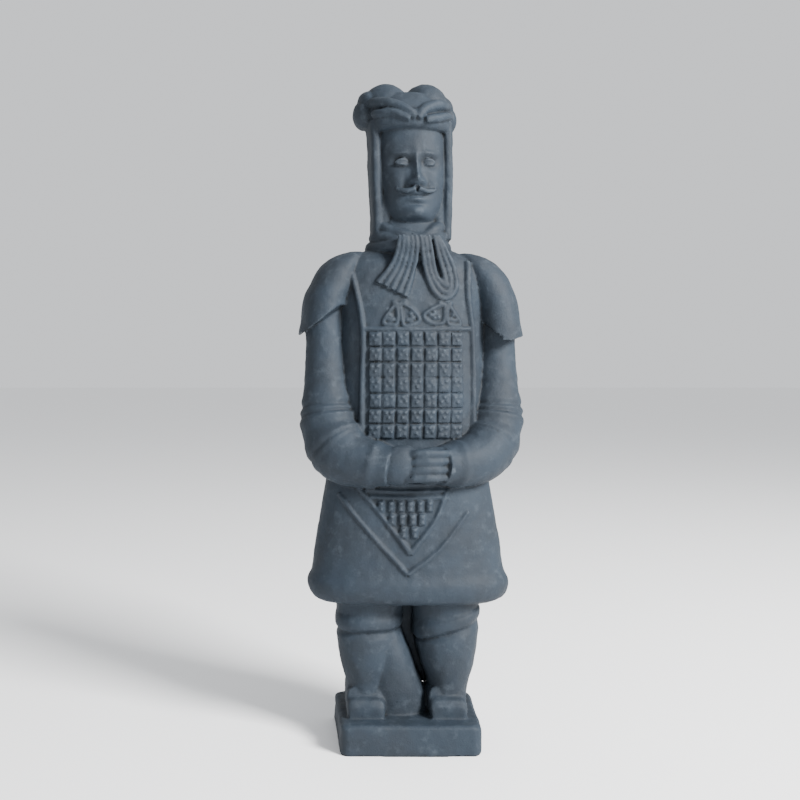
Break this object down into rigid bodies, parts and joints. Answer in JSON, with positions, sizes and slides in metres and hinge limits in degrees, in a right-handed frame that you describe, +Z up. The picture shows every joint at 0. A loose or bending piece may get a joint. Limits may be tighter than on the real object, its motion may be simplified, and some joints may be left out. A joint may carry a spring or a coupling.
{
  "type": "terracotta warrior statue",
  "caption": "Standing officer figure with clasped hands, plate armour and a lobed headdress, cast with its thin rectangular plinth.",
  "frame": {"origin": "middle of the plinth's underside", "axes": "+Z up along the figure, -Y the way the figure faces, +X to the right of a viewer who faces it"},
  "size_m": [0.086, 0.0476, 0.25],
  "materials": {
    "dark_clay": "matte unglazed slate-grey clay, slightly dusty on raised edges"
  },
  "bodies": {
    "root": {"warrior_statue": "dark_clay"}
  },
  "joints": []
}
